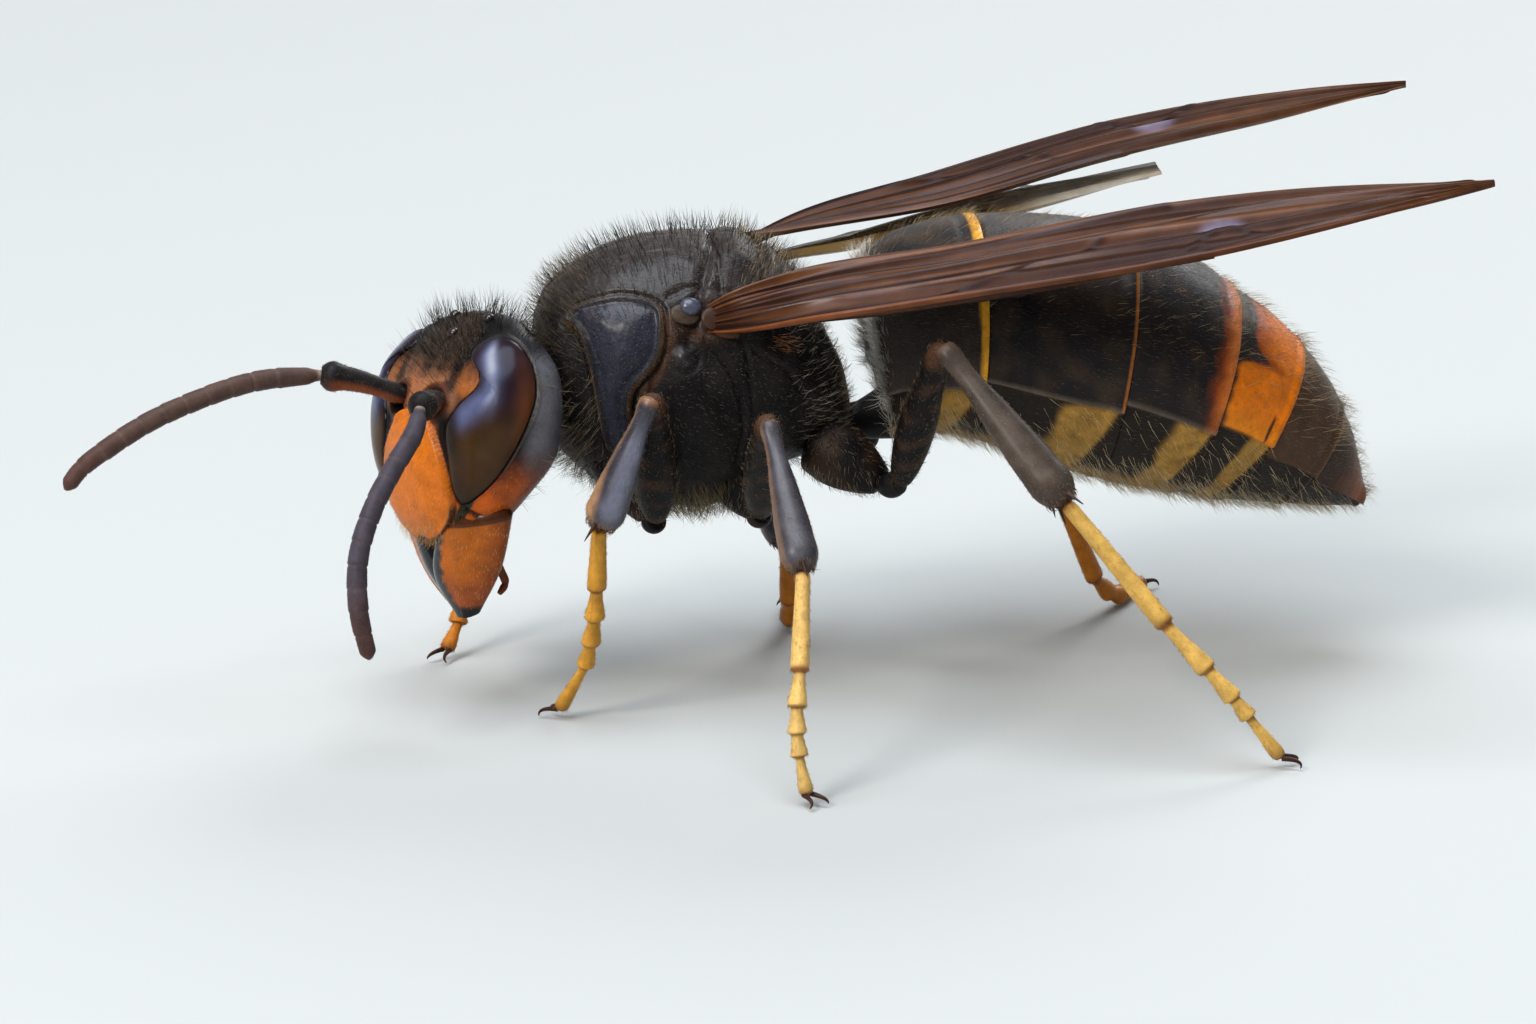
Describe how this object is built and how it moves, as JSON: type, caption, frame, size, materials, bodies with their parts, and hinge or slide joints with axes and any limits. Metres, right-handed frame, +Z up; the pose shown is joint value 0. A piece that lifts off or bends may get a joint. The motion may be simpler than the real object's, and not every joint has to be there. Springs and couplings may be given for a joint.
{
  "type": "asian hornet",
  "caption": "Life-size still model of a worker Asian hornet, standing on its feet with wings half folded back and feelers spread.",
  "frame": {"origin": "on the floor, under the middle of the whole model's box", "axes": "+X towards the tail, head towards -X; +Y towards the hornet's right; +Z up from the floor"},
  "size_m": [0.0346, 0.0186, 0.0139],
  "materials": {
    "black_cuticle": "satin black",
    "brown_cuticle": "satin dark brown",
    "orange_cuticle": "satin orange",
    "yellow_cuticle": "satin yellow",
    "compound_eye": "glossy dark red-brown",
    "wing_membrane": "smoky brown, translucent"
  },
  "bodies": {
    "root": {"coxa_fore_left": "black_cuticle", "coxa_fore_right": "black_cuticle", "coxa_hind_left": "black_cuticle", "coxa_hind_right": "black_cuticle", "coxa_mid_left": "black_cuticle", "coxa_mid_right": "black_cuticle", "eye_left": "compound_eye", "eye_right": "compound_eye", "femur_fore_left": "black_cuticle", "femur_fore_right": "black_cuticle", "femur_hind_left": "black_cuticle", "femur_hind_right": "black_cuticle", "femur_mid_left": "black_cuticle", "femur_mid_right": "black_cuticle", "flagellum_left": "brown_cuticle", "flagellum_right": "brown_cuticle", "forewing_left": "wing_membrane", "forewing_right": "wing_membrane", "gaster_1": "black_cuticle", "gaster_2": "black_cuticle", "gaster_3": "black_cuticle", "gaster_4": "orange_cuticle", "gaster_5": "black_cuticle", "gaster_6": "black_cuticle", "head": "orange_cuticle", "hindwing_left": "wing_membrane", "hindwing_right": "wing_membrane", "mandible_left": "orange_cuticle", "mandible_right": "orange_cuticle", "maxilla_left": "orange_cuticle", "maxilla_right": "orange_cuticle", "mesothorax": "black_cuticle", "metathorax": "black_cuticle", "neck": "black_cuticle", "petiole": "black_cuticle", "prothorax": "black_cuticle", "scape_left": "brown_cuticle", "scape_right": "brown_cuticle", "tarsus_fore_left": "yellow_cuticle", "tarsus_fore_right": "yellow_cuticle", "tarsus_hind_left": "yellow_cuticle", "tarsus_hind_right": "yellow_cuticle", "tarsus_mid_left": "yellow_cuticle", "tarsus_mid_right": "yellow_cuticle", "tibia_fore_left": "brown_cuticle", "tibia_fore_right": "brown_cuticle", "tibia_hind_left": "brown_cuticle", "tibia_hind_right": "brown_cuticle", "tibia_mid_left": "brown_cuticle", "tibia_mid_right": "brown_cuticle"}
  },
  "joints": []
}
